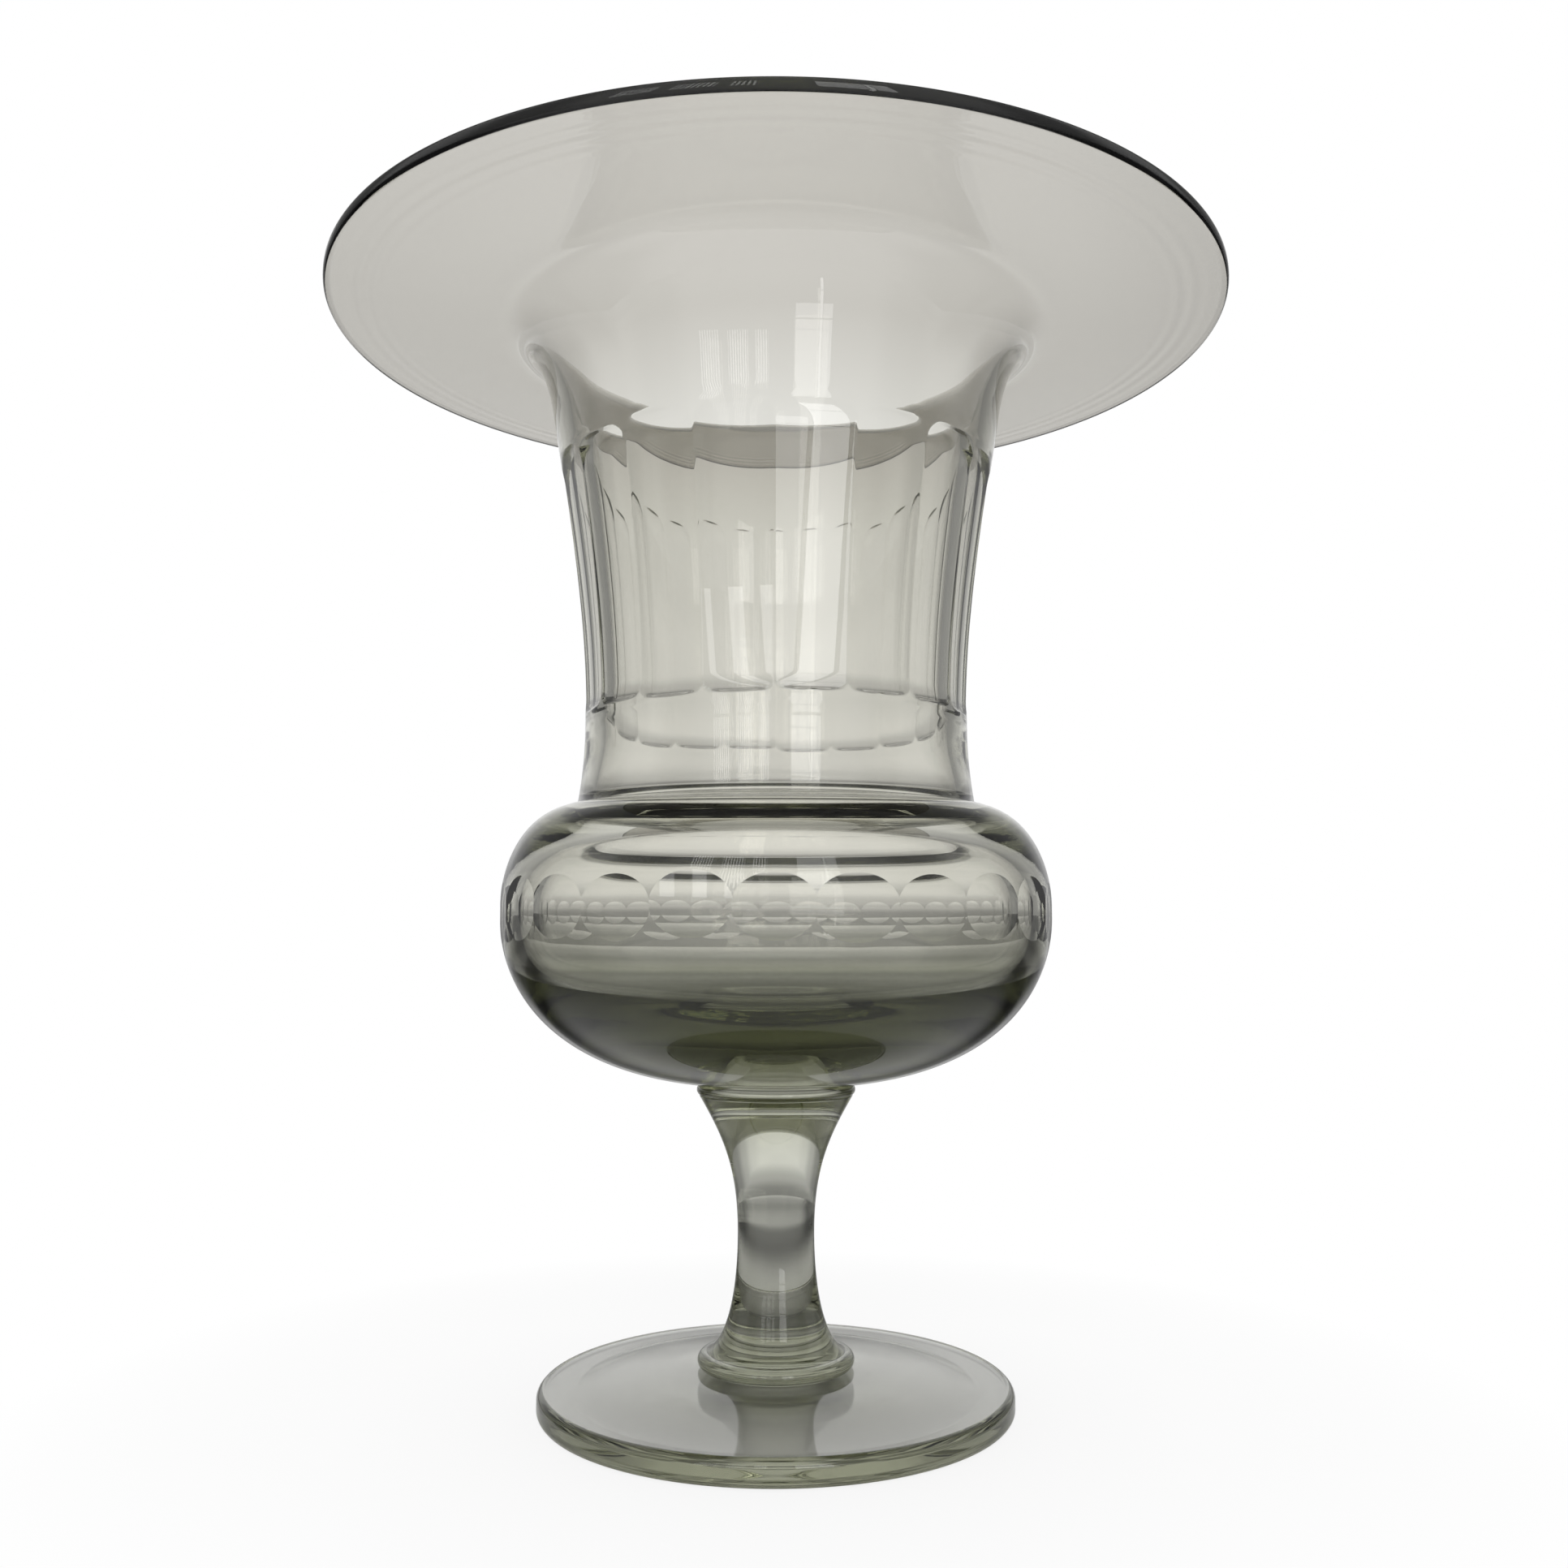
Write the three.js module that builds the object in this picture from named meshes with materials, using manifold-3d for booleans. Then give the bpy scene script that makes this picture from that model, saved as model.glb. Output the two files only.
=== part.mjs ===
// Clear glass vase on a stem and foot.
// The bowl is one blown piece: a wide turned-out brim, a waisted neck cut with flat flutes,
// and a belly ringed with oval cuts. Two thin wafers of glass weld it to the stem and the foot.
// The origin is the middle of the foot's underside, +Z is up, and all sizes are millimetres.
import * as THREE from 'three';
import { mergeVertices } from 'three/addons/utils/BufferGeometryUtils.js';
import Module from 'manifold-3d';

const wasm = await Module();
wasm.setup();

// From the table to the top of the rim. The neck takes what the other parts leave of it.
const vaseHeight = 320;

// Foot: a thick disc that rises gently to the middle and is hollowed a little underneath
const footRadius = 67.4;
const footEdgeThickness = 7.3;
const footEdgeRounding = 2.4;
const footRise = 3.7;
const footLandWidth = 7;
const footHollowDepth = 0.9;
const pontilRadius = 15;
const pontilDepth = 1.1;

// Wafers: the flattened buttons of glass at the two ends of the stem
const footWaferRadius = 22.4;
const footWaferThickness = 4.6;
const bowlWaferRadius = 23;
const bowlWaferThickness = 3.6;

// How far each welded face stays inside the edge of the wafer that it meets
const stemBaseInset = 2.6;
const stemTopInset = 0.8;
const bowlSeatInset = 1.4;

// Stem: a solid drawn baluster, thinnest below its middle
const stemWaistRadius = 11;
const stemLowerRise = 32.5;
const stemUpperRise = 39;
const stemFlareOut = 6;
const stemFlareRise = 10.5;
const stemBaseFlareOut = 5.4;
const stemBaseFlareRise = 2.6;

// Bowl, outside radii
const bellyRadius = 80.1;
const creaseRadius = 58.6;
const waistRadius = 56.5;
const throatRadius = 67.2;
const throatSpread = 16.8;
const brimWidth = 49.4;
const rimThickness = 4.8;

// Bowl, heights from each station up to the next, starting at the seat on the wafer.
// The collar ends at the waist, and the neck stands between the waist and the throat.
const bellyRise = 49.3;
const shoulderRise = 30.3;
const collarRise = 23.7;
const throatRise = 25.8;
const brimRise = 6.2;

// How far the neck leans out for each millimetre of height as it enters the throat
const throatSlope = 0.158;

// Glass thickness of the bowl, outside to inside
const brimWall = 4.1;
const neckWall = 5.6;
const shoulderWall = 7;
const bellyWall = 6;
const bottomWall = 17;

// Flutes: flat panels ground side by side round the neck, meeting in sharp ridges
const fluteCount = 18;
const fluteStartAboveWaist = 2.5;
const fluteEndBelowThroat = 15.8;
const fluteTopRounding = 10.5;
const fluteBottomRounding = 7.5;
const fluteRidgeDrop = 0.06;

// Ovals: flat facets ground side by side round the widest part of the belly
const ovalCount = 24;
const ovalWidth = 21.8;
const ovalBelowBelly = 1.1;

// How far the grinding blocks stand out of the glass
const cutterMargin = 6;

// Facets of the model round its axis
const bowlFacets = 72;
const footFacets = 54;
const stemFacets = 44;

// Heights of the welded faces above the table
const footTop = footEdgeThickness + footRise;
const stemBottom = footTop + footWaferThickness;
const stemTop = stemBottom + stemLowerRise + stemUpperRise;
const bowlBottom = stemTop + bowlWaferThickness;
const waistHeight = bowlBottom + bellyRise + shoulderRise + collarRise;
const neckRise = vaseHeight - brimRise - throatRise - waistHeight;

const point = (radius, height) => new THREE.Vector2(radius, height);

// The stations of the bowl's outside
const seat = point(bowlWaferRadius - bowlSeatInset, bowlBottom);
const belly = point(bellyRadius, seat.y + bellyRise);
const crease = point(creaseRadius, belly.y + shoulderRise);
const waist = point(waistRadius, waistHeight);
const throat = point(throatRadius, waist.y + neckRise);
const brimBend = point(throat.x + throatSpread, throat.y + throatRise);
const rimRadius = brimBend.x + brimWidth;
const rimTop = brimBend.y + brimRise;

// Points along a smooth curve from one point to another. Each handle is given
// as a step away from its own end of the curve.
function bend(steps, start, startStep, endStep, end) {
  const startHandle = start.clone().add(startStep);
  const endHandle = end.clone().add(endStep);
  return new THREE.CubicBezierCurve(start, startHandle, endHandle, end).getPoints(steps);
}

// Points round an edge, from one angle to another in degrees, 0 pointing outwards
function roundEdge(steps, centre, radius, fromAngle, toAngle) {
  const from = THREE.MathUtils.degToRad(fromAngle);
  const to = THREE.MathUtils.degToRad(toAngle);
  const arc = new THREE.EllipseCurve(centre.x, centre.y, radius, radius, from, to);
  return arc.getPoints(steps);
}

// A body of revolution about Z from an outline that starts and ends on the axis
function revolve(outline, facets) {
  const closest = 1e-6;
  const distinct = outline.filter((p, i) => i === 0 || p.distanceTo(outline[i - 1]) > closest);
  const geometry = new THREE.LatheGeometry(distinct, facets);
  geometry.rotateX(Math.PI / 2);
  return geometry;
}

// A closed geometry as a solid that can cut and be cut
function toSolid(geometry) {
  const bare = geometry.clone();
  bare.deleteAttribute('normal');
  bare.deleteAttribute('uv');
  const merged = mergeVertices(bare);
  const mesh = new wasm.Mesh({
    numProp: 3,
    vertProperties: new Float32Array(merged.attributes.position.array),
    triVerts: new Uint32Array(merged.index.array),
  });
  return new wasm.Manifold(mesh);
}

function toGeometry(solid) {
  const mesh = solid.getMesh();
  const geometry = new THREE.BufferGeometry();
  geometry.setAttribute('position', new THREE.BufferAttribute(mesh.vertProperties, 3));
  geometry.setIndex(new THREE.BufferAttribute(mesh.triVerts, 1));
  geometry.computeVertexNormals();
  return geometry;
}

// Foot: it rests on a flat ring near its edge, and the spot where the blower's rod
// was broken off is ground to a shallow dimple in the middle
function footGeometry() {
  const edgeCentre = footRadius - footEdgeRounding;
  const land = point(edgeCentre - footLandWidth, 0);
  const dimple = point(0, footHollowDepth + pontilDepth);
  const dimpleEdge = point(pontilRadius, footHollowDepth);
  const lowerEdge = point(edgeCentre, footEdgeRounding);
  const upperEdge = point(edgeCentre, footEdgeThickness - footEdgeRounding);
  const edgeTop = point(edgeCentre, footEdgeThickness);
  const wafer = point(footWaferRadius, footTop);
  const slope = edgeTop.x - wafer.x;
  const outline = [
    ...bend(3, dimple,
      point(pontilRadius / 2, 0),
      point(-pontilRadius / 4, pontilDepth / 2), dimpleEdge),
    ...bend(3, dimpleEdge,
      point((land.x - dimpleEdge.x) / 3, 0),
      point((dimpleEdge.x - land.x) / 3, footHollowDepth / 2), land),
    ...roundEdge(4, lowerEdge, footEdgeRounding, -90, 0),
    ...roundEdge(4, upperEdge, footEdgeRounding, 0, 90),
    ...bend(5, edgeTop,
      point(-slope * 0.4, footRise * 0.1),
      point(slope * 0.25, 0), wafer),
    point(0, footTop),
  ];
  return revolve(outline, footFacets);
}

// A wafer: a flat button of glass with a fully rounded edge
function waferGeometry(radius, thickness, bottom) {
  const rounding = thickness / 2;
  const edge = roundEdge(6, point(radius - rounding, bottom + rounding), rounding, -90, 90);
  return revolve([point(0, bottom), ...edge, point(0, bottom + thickness)], stemFacets);
}

function stemGeometry() {
  const base = point(footWaferRadius - stemBaseInset, stemBottom);
  const thinnest = point(stemWaistRadius, stemBottom + stemLowerRise);
  const top = point(bowlWaferRadius - stemTopInset, stemTop);
  const outline = [
    point(0, stemBottom),
    ...bend(7, base,
      point(-stemBaseFlareOut, stemBaseFlareRise),
      point(0, -stemLowerRise * 0.55), thinnest),
    ...bend(7, thinnest,
      point(0, stemUpperRise * 0.5),
      point(-stemFlareOut, -stemFlareRise), top),
    point(0, stemTop),
  ];
  return revolve(outline, stemFacets);
}

// The neck's outside between waist and throat, which the flutes follow
function neckOutside(steps) {
  const handle = neckRise / 3;
  return bend(steps, waist, point(0, handle), point(-handle * throatSlope, -handle), throat);
}

function neckRadiusAt(height) {
  const outline = neckOutside(120);
  const above = outline.findIndex((p) => p.y >= height);
  const low = outline[above - 1];
  const high = outline[above];
  return THREE.MathUtils.mapLinear(height, low.y, high.y, low.x, high.x);
}

// Bowl outside, from its seat up and round the rim
function bowlOutside() {
  const shoulderRun = belly.x - crease.x;
  const bellyRun = belly.x - seat.x;
  const rimRounding = rimThickness / 2;
  const rimCentre = point(rimRadius - rimRounding, rimTop - rimRounding);
  return [
    ...bend(8, seat, point(bellyRun * 0.6, bellyRise * 0.055), point(0, -bellyRise * 0.58), belly),
    ...bend(7, belly, point(0, shoulderRise * 0.6), point(shoulderRun * 0.55, 0), crease),
    ...bend(3, crease,
      point(-(crease.x - waist.x) * 0.67, collarRise / 3),
      point(0, -collarRise / 3), waist),
    ...neckOutside(6),
    ...bend(6, throat,
      point(throatRise * 0.6 * throatSlope, throatRise * 0.6),
      point(-throatSpread * 0.55, 0), brimBend),
    ...roundEdge(6, rimCentre, rimRounding, -95, 95),
  ];
}

// Bowl inside, from the brim's upper face down to the middle of the thick bottom
function bowlInside() {
  const brim = point(brimBend.x, brimBend.y + brimWall);
  const innerThroat = point(throat.x - neckWall, throat.y);
  const innerWaist = point(waist.x - neckWall, waist.y);
  const innerCrease = point(crease.x - neckWall, crease.y);
  const innerShoulder = point(crease.x, crease.y - shoulderWall);
  const innerBelly = point(belly.x - bellyWall, belly.y);
  const floor = point(0, seat.y + bottomWall);
  const brimRun = brim.x - innerThroat.x;
  const brimDrop = brim.y - innerThroat.y;
  const neckHandle = neckRise / 3;
  const collarHandle = collarRise / 3;
  const shoulderDrop = innerShoulder.y - innerBelly.y;
  const floorDrop = innerBelly.y - floor.y;
  return [
    ...bend(5, brim, point(-brimRun * 0.6, 0),
      point(brimDrop * 0.55 * throatSlope, brimDrop * 0.55), innerThroat),
    ...bend(3, innerThroat, point(-neckHandle * throatSlope, -neckHandle),
      point(0, neckHandle), innerWaist),
    ...bend(2, innerWaist, point(0, -collarHandle), point(0, collarHandle), innerCrease),
    ...bend(3, innerCrease, point(0, -shoulderWall * 0.5),
      point(-neckWall * 0.5, shoulderWall * 0.2), innerShoulder),
    ...bend(3, innerShoulder, point((innerBelly.x - innerShoulder.x) * 0.65, -shoulderDrop * 0.12),
      point(0, shoulderDrop * 0.5), innerBelly),
    ...bend(6, innerBelly, point(0, -floorDrop * 0.6), point(innerBelly.x * 0.62, 0), floor),
  ];
}

// One flute cutter: a block whose inner face is flat across, follows the neck along its
// length and rises out of the glass in a rounded end at the top and the bottom
function fluteCutter() {
  const bottom = waist.y + fluteStartAboveWaist;
  const top = throat.y - fluteEndBelowThroat;
  const halfPitch = Math.PI / fluteCount;
  const outside = throat.x + cutterMargin;
  const rows = 10;
  const face = [];
  for (let row = 0; row <= rows; row += 1) {
    const share = 0.5 - 0.5 * Math.cos(Math.PI * row / rows);
    const height = THREE.MathUtils.lerp(bottom, top, share);
    const radius = neckRadiusAt(height);
    const nearTop = Math.max(0, 1 - (top - height) / fluteTopRounding);
    const nearBottom = Math.max(0, 1 - (height - bottom) / fluteBottomRounding);
    const rise = Math.max(nearTop, nearBottom) ** 2;
    const depth = radius * (1 - Math.cos(halfPitch)) + fluteRidgeDrop;
    face.push(point(radius - depth * (1 - rise), height));
  }
  const end = cutterMargin / 6;
  const block = new THREE.Shape([point(outside, bottom - end), ...face, point(outside, top + end)]);
  const width = 2.6 * throat.x * Math.tan(halfPitch);
  const cutter = new THREE.ExtrudeGeometry(block, { depth: width, bevelEnabled: false });
  cutter.rotateX(Math.PI / 2);
  cutter.translate(0, width / 2, 0);
  return cutter;
}

// One oval cutter: a block whose flat inner face takes an oval facet off the round belly
function ovalCutter() {
  const depth = belly.x - Math.sqrt(belly.x ** 2 - (ovalWidth / 2) ** 2);
  const across = ovalWidth * 1.5;
  const cutter = new THREE.BoxGeometry(cutterMargin, across, across);
  cutter.translate(belly.x - depth + cutterMargin / 2, 0, belly.y - ovalBelowBelly);
  return cutter;
}

// Cuts copies of a cutter into a solid at even steps round the axis
function cutRound(solid, cutter, count, firstAngle) {
  let result = solid;
  for (let copy = 0; copy < count; copy += 1) {
    const turned = cutter.clone();
    turned.rotateZ(firstAngle + (copy * 2 * Math.PI) / count);
    result = result.subtract(toSolid(turned));
  }
  return result;
}

// Bowl: a ridge between two flutes and the middle of one oval face the front
function bowlGeometry() {
  const front = -Math.PI / 2;
  const blown = toSolid(revolve([point(0, seat.y), ...bowlOutside(), ...bowlInside()], bowlFacets));
  const fluted = cutRound(blown, fluteCutter(), fluteCount, front + Math.PI / fluteCount);
  return toGeometry(cutRound(fluted, ovalCutter(), ovalCount, front));
}

// Clear glass, greener where it is thick
function glass(color) {
  return new THREE.MeshStandardMaterial({
    color,
    roughness: 0.04,
    metalness: 0,
    transparent: true,
    opacity: 0.45,
  });
}

const group = new THREE.Group();

function addPiece(name, geometry, color) {
  const mesh = new THREE.Mesh(geometry, glass(color));
  mesh.name = name;
  group.add(mesh);
}

addPiece('foot', footGeometry(), 0xb8b6ae);
addPiece('foot_wafer', waferGeometry(footWaferRadius, footWaferThickness, footTop), 0x8f9186);
addPiece('stem', stemGeometry(), 0xa9a9a0);
addPiece('bowl_wafer', waferGeometry(bowlWaferRadius, bowlWaferThickness, stemTop), 0x8f9186);
addPiece('bowl', bowlGeometry(), 0xcbc8c3);

export default group;
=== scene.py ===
"""The looks of a clear glass vase on a stem and foot.

Five pieces of glass stand for the five solids: foot, foot wafer, stem, bowl wafer and bowl.
The bowl is a smooth body of revolution whose neck is cut with flat flutes and whose belly is
ringed with oval cuts. Outlines are in millimetres, as (distance from the axis, height above
the table), and turn into metres when a mesh is made.
"""
import math

import bpy
import numpy as np
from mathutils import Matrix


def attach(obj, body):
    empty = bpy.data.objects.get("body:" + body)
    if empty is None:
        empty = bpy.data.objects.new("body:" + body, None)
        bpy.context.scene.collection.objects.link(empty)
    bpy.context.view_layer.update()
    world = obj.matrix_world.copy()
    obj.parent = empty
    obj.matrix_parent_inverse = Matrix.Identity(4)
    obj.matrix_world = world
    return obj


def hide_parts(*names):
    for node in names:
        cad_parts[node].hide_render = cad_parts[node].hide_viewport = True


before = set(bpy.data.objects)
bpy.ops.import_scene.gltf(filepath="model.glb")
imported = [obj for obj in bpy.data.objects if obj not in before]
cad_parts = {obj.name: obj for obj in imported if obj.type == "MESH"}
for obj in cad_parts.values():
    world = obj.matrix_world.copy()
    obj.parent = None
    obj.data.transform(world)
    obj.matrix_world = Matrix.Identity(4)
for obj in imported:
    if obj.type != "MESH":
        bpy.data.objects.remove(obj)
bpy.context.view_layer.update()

METRE = 0.001

# Foot
FOOT_RADIUS = 67.4
FOOT_EDGE_THICKNESS = 7.3
FOOT_EDGE_ROUNDING = 2.4
FOOT_RISE = 3.7
FOOT_LAND_WIDTH = 7.0
FOOT_HOLLOW_DEPTH = 3.2
PONTIL_RADIUS = 15.0
PONTIL_DEPTH = 1.1

# Wafers at the two ends of the stem
FOOT_WAFER_RADIUS = 22.4
FOOT_WAFER_THICKNESS = 4.6
BOWL_WAFER_RADIUS = 23.0
BOWL_WAFER_THICKNESS = 3.6

# Stem
STEM_BASE_RADIUS = 19.8
STEM_WAIST_RADIUS = 11.0
STEM_TOP_RADIUS = 22.2
STEM_LOWER_RISE = 32.5
STEM_UPPER_RISE = 39.0
STEM_BASE_FLARE_OUT = 5.4
STEM_BASE_FLARE_RISE = 2.6
STEM_TOP_FLARE_OUT = 6.0
STEM_TOP_FLARE_RISE = 10.5

# Bowl, outside radii and the heights from each station to the next
SEAT_RADIUS = 21.6
BELLY_RADIUS = 80.1
CREASE_RADIUS = 58.6
WAIST_RADIUS = 56.5
THROAT_RADIUS = 67.2
THROAT_SPREAD = 16.8
BRIM_WIDTH = 49.4
RIM_THICKNESS = 3.6
RIM_SQUARENESS = 2.8
RIM_RIPPLES = 4
RIM_RIPPLE_SPACING = 4.6
RIM_RIPPLE_HEIGHT = 0.05
BELLY_RISE = 49.3
SHOULDER_RISE = 30.3
COLLAR_RISE = 23.7
NECK_RISE = 94.0
THROAT_RISE = 25.8
BRIM_RISE = 6.2
THROAT_SLOPE = 0.158

# Glass thickness of the bowl
BRIM_WALL = 4.1
NECK_WALL = 5.6
SHOULDER_WALL = 9.3
BELLY_WALL = 6.0
BOTTOM_WALL = 16.0

# The tight corner inside the shoulder: how far out from the crease it ends, and its size
INNER_CORNER_OUT = 2.9
INNER_CORNER_WIDTH = 1.8
INNER_CORNER_HEIGHT = 0.7

# Cuts
FLUTE_COUNT = 18
FLUTE_START_ABOVE_WAIST = 2.5
FLUTE_END_BELOW_THROAT = 15.8
FLUTE_TOP_CORNER = 7.5
FLUTE_BOTTOM_CORNER = 5.2
FLUTE_LEDGE = 0.45
FLUTE_RIDGE_DROP = 0.2
OVAL_COUNT = 24
OVAL_WIDTH = 21.8
OVAL_BELOW_BELLY = 1.1
OVAL_BLOCK_DEPTH = 6.0
CREST_ROUNDING = 0.08

# How far each hand-made cut differs from an even one: its wander round the axis and its tilt in
# degrees, the slip of its ends in millimetres, and the change of its depth as a share
FLUTE_WANDER = 0.25
FLUTE_SLIP = 0.7
OVAL_WANDER = 0.4
OVAL_TILT = 0.7
OVAL_DEPTH_CHANGE = 0.06

# The flutes' ends lie within this distance of their even height
FLUTE_MARGIN = 3.0

# Where two pieces are welded, each stops this far short of the joint
SEAM = 0.01

# Points of an outline that are nearer than this are one point
SAME_PLACE = 1e-5

# Steps round the axis, a whole number for each flute and each oval, and how far the bowl's
# columns are drawn towards the ridges between its flutes, from 0 to 1
BOWL_STEPS = 288
SOLID_STEPS = 144
COLUMN_DRAW = 0.75

# Distance from one row of the bowl to the next
ROWS_OUTSIDE = 1.9
ROWS_INSIDE = 2.2
ROWS_ON_RIM = 0.3
ROWS_ON_RIPPLES = 0.7
ROWS_ON_OVALS = 1.2
ROWS_AT_FLUTE_BOTTOMS = 0.28
ROWS_AT_FLUTE_TOPS = 0.4

# How far the close rows at the flutes' ends reach past an end, and into a flute from its bottom
# and from its top
CLOSE_PAST_ENDS = 1.5
CLOSE_ABOVE_BOTTOMS = 6.0
CLOSE_BELOW_TOPS = 13.0

# Surfaces that turn by more than this many degrees meet in a crisp edge
CRISP_ANGLE = 15
BOWL_CRISP_ANGLE = 40
OVAL_CRISP_ANGLE = 4.5

FOOT_TOP = FOOT_EDGE_THICKNESS + FOOT_RISE
STEM_BOTTOM = FOOT_TOP + FOOT_WAFER_THICKNESS
STEM_TOP = STEM_BOTTOM + STEM_LOWER_RISE + STEM_UPPER_RISE
BOWL_BOTTOM = STEM_TOP + BOWL_WAFER_THICKNESS
FOOT_WELD = FOOT_WAFER_RADIUS - FOOT_WAFER_THICKNESS / 2
BOWL_WELD = BOWL_WAFER_RADIUS - BOWL_WAFER_THICKNESS / 2

SEAT = np.array([SEAT_RADIUS, BOWL_BOTTOM])
BELLY = np.array([BELLY_RADIUS, SEAT[1] + BELLY_RISE])
CREASE = np.array([CREASE_RADIUS, BELLY[1] + SHOULDER_RISE])
WAIST = np.array([WAIST_RADIUS, CREASE[1] + COLLAR_RISE])
THROAT = np.array([THROAT_RADIUS, WAIST[1] + NECK_RISE])
BRIM_BEND = np.array([THROAT[0] + THROAT_SPREAD, THROAT[1] + THROAT_RISE])
RIM_RADIUS = BRIM_BEND[0] + BRIM_WIDTH
RIM_TOP = BRIM_BEND[1] + BRIM_RISE
FLUTE_BOTTOM = WAIST[1] + FLUTE_START_ABOVE_WAIST
FLUTE_TOP = THROAT[1] - FLUTE_END_BELOW_THROAT

FRONT = -math.pi / 2


# Outlines


def bend(steps, start, start_step, end_step, end):
    """Points along a smooth curve. Each handle is a step away from its own end."""
    start = np.array(start, float)
    end = np.array(end, float)
    first = start + np.array(start_step, float)
    second = end + np.array(end_step, float)
    t = np.linspace(0, 1, steps + 1)[:, None]
    s = 1 - t
    return list(s**3 * start + 3 * s * s * t * first + 3 * s * t * t * second + t**3 * end)


def round_edge(steps, centre, radius, from_angle, to_angle):
    """Points round an edge, angles in degrees, 0 pointing outwards."""
    angles = np.radians(np.linspace(from_angle, to_angle, steps + 1))
    return [(centre[0] + radius * math.cos(a), centre[1] + radius * math.sin(a)) for a in angles]


def foot_outline():
    edge_centre = FOOT_RADIUS - FOOT_EDGE_ROUNDING
    land = np.array([edge_centre - FOOT_LAND_WIDTH, 0])
    dimple_edge = np.array([PONTIL_RADIUS, FOOT_HOLLOW_DEPTH])
    reach = land[0] - dimple_edge[0]
    slope = edge_centre - FOOT_WAFER_RADIUS
    return [
        *bend(12, (0, FOOT_HOLLOW_DEPTH + PONTIL_DEPTH), (PONTIL_RADIUS / 2, 0),
              (-PONTIL_RADIUS / 4, PONTIL_DEPTH / 2), dimple_edge),
        *bend(20, dimple_edge, (reach / 3, 0), (-reach / 3, FOOT_HOLLOW_DEPTH / 2), land),
        (edge_centre, 0),
        *round_edge(28, (edge_centre, FOOT_EDGE_ROUNDING), FOOT_EDGE_ROUNDING, -90, 0),
        *round_edge(28, (edge_centre, FOOT_EDGE_THICKNESS - FOOT_EDGE_ROUNDING),
                    FOOT_EDGE_ROUNDING, 0, 90),
        *bend(40, (edge_centre, FOOT_EDGE_THICKNESS), (-slope * 0.4, FOOT_RISE * 0.1),
              (slope * 0.25, 0), (FOOT_WAFER_RADIUS, FOOT_TOP)),
        (FOOT_WELD, FOOT_TOP),
        (FOOT_WELD, FOOT_TOP - SEAM),
        (0, FOOT_TOP - SEAM),
    ]


def wafer_outline(radius, thickness, bottom, lower_weld, upper_weld):
    rounding = thickness / 2
    edge = round_edge(56, (radius - rounding, bottom + rounding), rounding, -90, 90)
    top = bottom + thickness
    return [
        (0, bottom + SEAM),
        (lower_weld, bottom + SEAM),
        (lower_weld, bottom),
        *edge,
        (upper_weld, top),
        (upper_weld, top - SEAM),
        (0, top - SEAM),
    ]


def stem_outline():
    thinnest = (STEM_WAIST_RADIUS, STEM_BOTTOM + STEM_LOWER_RISE)
    return [
        (0, STEM_BOTTOM + SEAM),
        *bend(60, (STEM_BASE_RADIUS, STEM_BOTTOM + SEAM),
              (-STEM_BASE_FLARE_OUT, STEM_BASE_FLARE_RISE),
              (0, -STEM_LOWER_RISE * 0.55), thinnest),
        *bend(60, thinnest, (0, STEM_UPPER_RISE * 0.5),
              (-STEM_TOP_FLARE_OUT, -STEM_TOP_FLARE_RISE), (STEM_TOP_RADIUS, STEM_TOP)),
        (BOWL_WELD, STEM_TOP),
        (BOWL_WELD, STEM_TOP - SEAM),
        (0, STEM_TOP - SEAM),
    ]


def rim_edge(steps):
    """The rolled rim, a little squarer than half a circle."""
    half = RIM_THICKNESS / 2
    power = 2 / RIM_SQUARENESS
    edge = []
    for angle in np.linspace(-math.pi / 2, math.pi / 2, steps + 1):
        out = max(0.0, math.cos(angle)) ** power
        up = math.copysign(abs(math.sin(angle)) ** power, math.sin(angle))
        edge.append((RIM_RADIUS - half + half * out, RIM_TOP - half + half * up))
    return edge


def rippled(points):
    """The brim's underside with the faint rings that the maker's tool left near the rim."""
    width = RIM_RIPPLES * RIM_RIPPLE_SPACING
    start = RIM_RADIUS - RIM_THICKNESS / 2 - width
    for point in points:
        along = min(max((point[0] - start) / width, 0.0), 1.0)
        swell = math.sin(math.pi * along) ** 2
        point[1] += RIM_RIPPLE_HEIGHT * swell * math.sin(2 * math.pi * RIM_RIPPLES * along)
    return points


def bowl_outside():
    """From the seat on the wafer up to the top of the rim."""
    belly_run = BELLY[0] - SEAT[0]
    shoulder_run = BELLY[0] - CREASE[0]
    rounding = RIM_THICKNESS / 2
    return [
        *bend(600, SEAT, (belly_run * 0.6, BELLY_RISE * 0.055), (0, -BELLY_RISE * 0.58), BELLY),
        *bend(400, BELLY, (0, SHOULDER_RISE * 0.6), (shoulder_run * 0.55, 0), CREASE),
        *bend(200, CREASE, (-(CREASE[0] - WAIST[0]) * 0.67, COLLAR_RISE / 3),
              (0, -COLLAR_RISE / 3), WAIST),
        *bend(900, WAIST, (0, NECK_RISE / 3), (-NECK_RISE / 3 * THROAT_SLOPE, -NECK_RISE / 3),
              THROAT),
        *bend(300, THROAT, (THROAT_RISE * 0.6 * THROAT_SLOPE, THROAT_RISE * 0.6),
              (-THROAT_SPREAD * 0.55, 0), BRIM_BEND),
        *rippled(bend(400, BRIM_BEND, (BRIM_WIDTH / 4, 0), (-BRIM_WIDTH / 4, 0),
                      (RIM_RADIUS - rounding, RIM_TOP - RIM_THICKNESS))),
        *rim_edge(400),
    ]


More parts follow.
